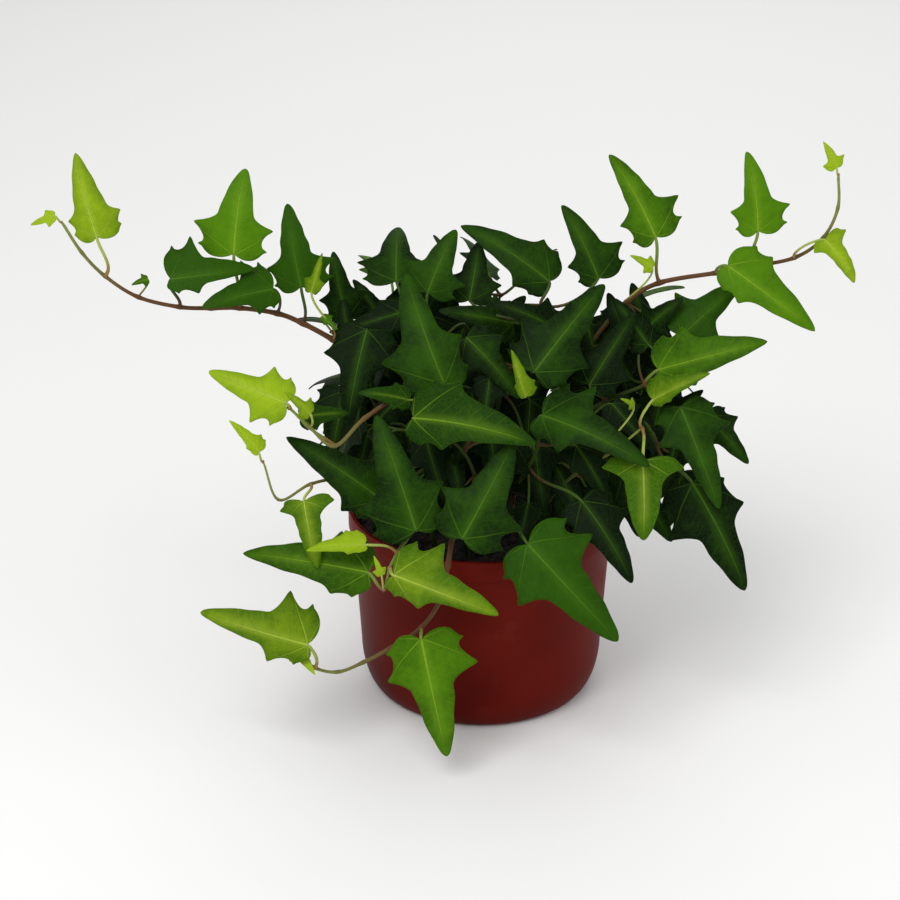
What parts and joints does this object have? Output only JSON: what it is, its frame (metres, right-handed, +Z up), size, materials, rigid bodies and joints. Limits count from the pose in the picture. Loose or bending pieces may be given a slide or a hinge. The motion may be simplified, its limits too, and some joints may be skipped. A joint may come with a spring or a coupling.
{
  "type": "potted ivy plant",
  "caption": "Potted ivy with lobed arrow-shaped leaves on arching runners and trailing stems, growing from soil in a round plastic nursery pot.",
  "frame": {"origin": "centre of the pot's flat underside, on the surface that it stands on", "axes": "+Z up along the pot's axis, -Y towards the side from which the plant is seen, with the trailing stem in front, +X to the right"},
  "size_m": [0.3483, 0.2071, 0.2539],
  "materials": {
    "pot_plastic": "smooth terracotta-red moulded plastic with a soft sheen",
    "soil": "dark damp peat compost with fine crumbs",
    "stem": "slender brown-green woody stem, satin",
    "leaf_dark": "mature leaf, deep green with paler veins and a soft sheen",
    "leaf_green": "full-grown leaf, mid green with pale veins and a soft sheen",
    "leaf_young": "young leaf, bright yellow-green with pale veins, satin"
  },
  "bodies": {
    "root": {"back_left": "stem", "back_mid": "stem", "back_right": "stem", "crown_left": "stem", "crown_left_leaf_1": "leaf_dark", "crown_left_leaf_2": "leaf_dark", "crown_left_leaf_3": "leaf_dark", "crown_mid": "stem", "crown_mid_leaf_1": "leaf_dark", "crown_mid_leaf_2": "leaf_dark", "crown_mid_leaf_3": "leaf_dark", "crown_mid_leaf_4": "leaf_dark", "crown_right": "stem", "crown_right_leaf_1": "leaf_dark", "crown_right_leaf_2": "leaf_dark", "crown_right_leaf_3": "leaf_green", "front_left": "stem", "front_left_leaf_1": "leaf_dark", "front_left_leaf_2": "leaf_dark", "front_mid": "stem", "front_mid_leaf_1": "leaf_green", "front_mid_leaf_2": "leaf_green", "front_right": "stem", "front_right_leaf_1": "leaf_dark", "front_right_leaf_2": "leaf_dark", "front_right_leaf_3": "leaf_dark", "front_trailer": "stem", "front_trailer_leaf_1": "leaf_green", "front_trailer_leaf_2": "leaf_young", "left_mid": "stem", "left_mid_leaf_1": "leaf_dark", "left_mid_leaf_2": "leaf_dark", "left_runner": "stem", "left_runner_leaf_1": "leaf_young", "left_runner_leaf_2": "leaf_green", "left_runner_leaf_3": "leaf_dark", "left_runner_leaf_4": "leaf_dark", "left_runner_leaf_5": "leaf_dark", "left_sprig": "stem", "left_sprig_leaf_1": "leaf_young", "left_sprig_leaf_2": "leaf_young", "left_trailer": "stem", "left_trailer_leaf_1": "leaf_young", "pot": "pot_plastic", "right_low": "stem", "right_low_leaf_1": "leaf_dark", "right_low_leaf_2": "leaf_dark", "right_runner": "stem", "right_runner_leaf_1": "leaf_green", "right_runner_leaf_2": "leaf_green", "right_runner_leaf_3": "leaf_green", "right_runner_leaf_4": "leaf_young", "right_sprig": "stem", "right_sprig_leaf_1": "leaf_young", "right_sprig_leaf_2": "leaf_young", "rim_shoot": "stem", "rim_shoot_leaf_1": "leaf_young", "rim_shoot_leaf_2": "leaf_young", "rim_shoot_leaf_3": "leaf_green", "soil": "soil"}
  },
  "joints": []
}
